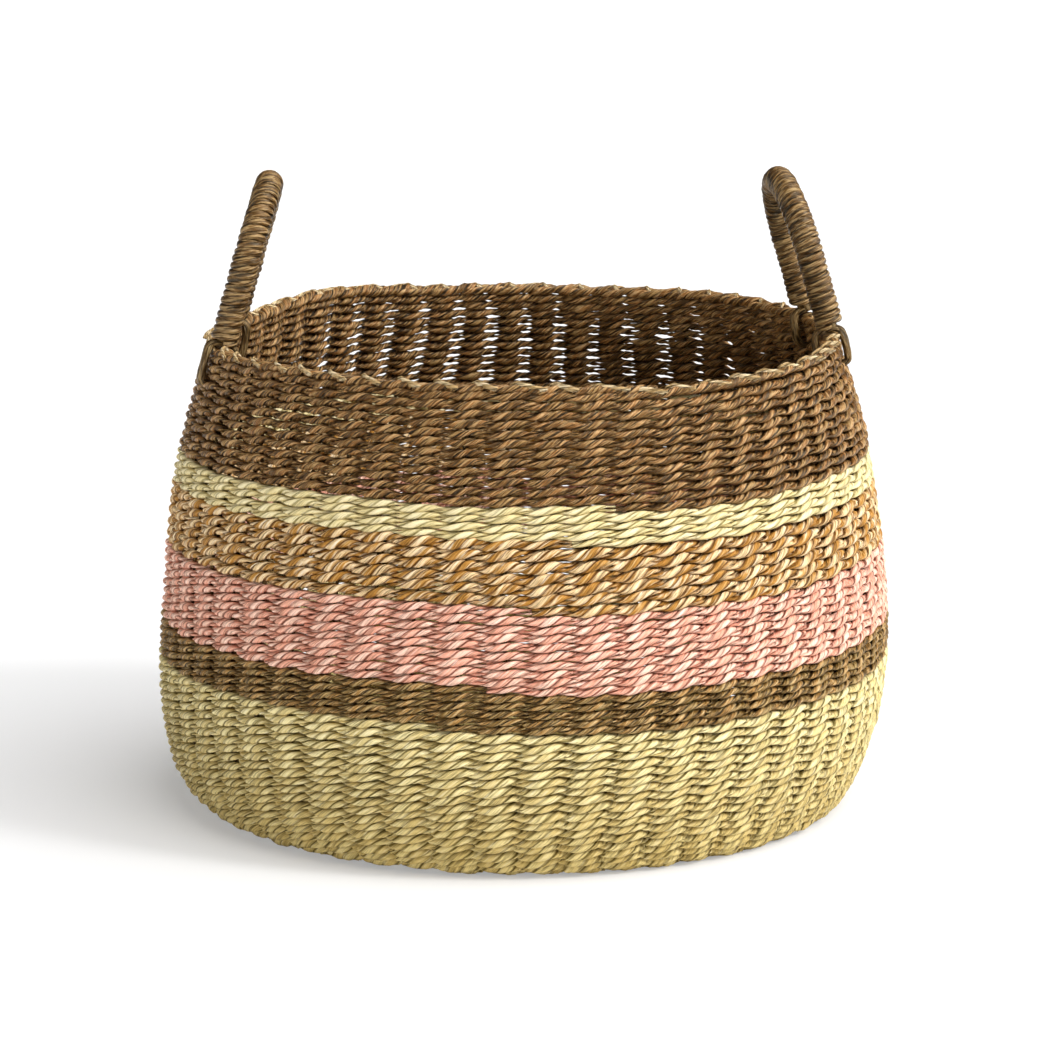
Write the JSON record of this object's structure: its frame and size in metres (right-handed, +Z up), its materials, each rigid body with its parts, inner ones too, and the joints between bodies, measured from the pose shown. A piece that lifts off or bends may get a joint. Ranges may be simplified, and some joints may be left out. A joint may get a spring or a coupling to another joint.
{
  "type": "storage basket",
  "caption": "Round, bellied storage basket twined from paper rope in wide stripes, open at the top, with a wrapped hoop handle at each side.",
  "frame": {"origin": "middle of the underside of the base, on the surface the basket stands on", "axes": "+Z up, X through the two handles with the left handle at -X, +Y to the back"},
  "size_m": [0.4432, 0.4432, 0.3813],
  "materials": {
    "stake_cord": "twisted paper cord, dull brown",
    "green_rope": "two-ply twisted paper rope, pale yellow green, matt",
    "bark_rope": "two-ply twisted paper rope, dark brown, matt",
    "pink_rope": "two-ply twisted paper rope, salmon pink, matt",
    "tan_rope": "two-ply twisted paper rope, one ply ochre and one straw, matt",
    "cream_rope": "two-ply twisted paper rope, pale cream yellow, matt",
    "brown_rope": "two-ply twisted paper rope, brown with tan fibres, matt",
    "handle_core": "bundle of brown paper strands, slight sheen",
    "handle_wrap": "brown twisted paper cord wound close, slight sheen"
  },
  "bodies": {
    "root": {"lower_stake_01": "stake_cord", "lower_stake_02": "stake_cord", "lower_stake_03": "stake_cord", "lower_stake_04": "stake_cord", "lower_stake_05": "stake_cord", "lower_stake_06": "stake_cord", "lower_stake_07": "stake_cord", "lower_stake_08": "stake_cord", "lower_stake_09": "stake_cord", "lower_stake_10": "stake_cord", "lower_stake_11": "stake_cord", "lower_stake_12": "stake_cord", "lower_stake_13": "stake_cord", "upper_stake_01": "stake_cord", "upper_stake_02": "stake_cord", "upper_stake_03": "stake_cord", "upper_stake_04": "stake_cord", "upper_stake_05": "stake_cord", "upper_stake_06": "stake_cord", "upper_stake_07": "stake_cord", "upper_stake_08": "stake_cord", "upper_stake_09": "stake_cord", "upper_stake_10": "stake_cord", "upper_stake_11": "stake_cord", "upper_stake_12": "stake_cord", "upper_stake_13": "stake_cord", "base_weft_under": "green_rope", "base_weft_over": "green_rope", "heel_weft_outer": "green_rope", "heel_weft_inner": "green_rope", "lower_green_weft_outer": "green_rope", "lower_green_weft_inner": "green_rope", "green_weft_outer": "green_rope", "green_weft_inner": "green_rope", "bark_weft_outer": "bark_rope", "bark_weft_inner": "bark_rope", "pink_weft_outer": "pink_rope", "pink_weft_inner": "pink_rope", "tan_weft_outer": "tan_rope", "tan_weft_inner": "tan_rope", "cream_weft_outer": "cream_rope", "cream_weft_inner": "cream_rope", "brown_weft_outer": "brown_rope", "brown_weft_inner": "brown_rope", "border": "brown_rope", "left_handle_core": "handle_core", "left_handle_wrap": "handle_wrap", "right_handle_core": "handle_core", "right_handle_wrap": "handle_wrap"}
  },
  "joints": []
}
